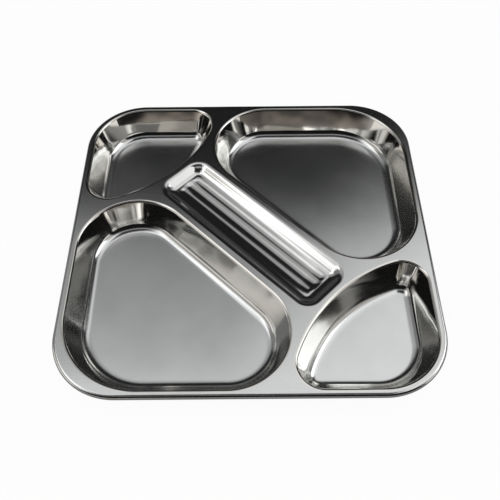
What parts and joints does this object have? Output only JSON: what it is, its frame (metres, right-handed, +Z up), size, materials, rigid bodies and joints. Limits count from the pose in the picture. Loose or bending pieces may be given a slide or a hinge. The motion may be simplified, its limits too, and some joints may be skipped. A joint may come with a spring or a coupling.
{
  "type": "divided compartment tray",
  "caption": "Square pressed stainless-steel tray with deep food wells, a fluted diagonal cutlery trough and a rolled rim.",
  "frame": {"origin": "under the middle of the tray, on the plane that the well floors stand on", "axes": "+Z up out of the wells, +X to the right and -Y towards the viewer as in the picture; the trough runs from the rear left corner to the front right corner"},
  "size_m": [0.28, 0.28, 0.0238],
  "materials": {
    "deck_steel": "satin",
    "well_steel": "satin",
    "trough_steel": "polished"
  },
  "bodies": {
    "root": {"deck": "deck_steel", "rolled_rim": "deck_steel", "large_well_front": "well_steel", "large_well_rear": "well_steel", "corner_well_front": "well_steel", "corner_well_rear": "well_steel", "cutlery_trough": "trough_steel"}
  },
  "joints": []
}
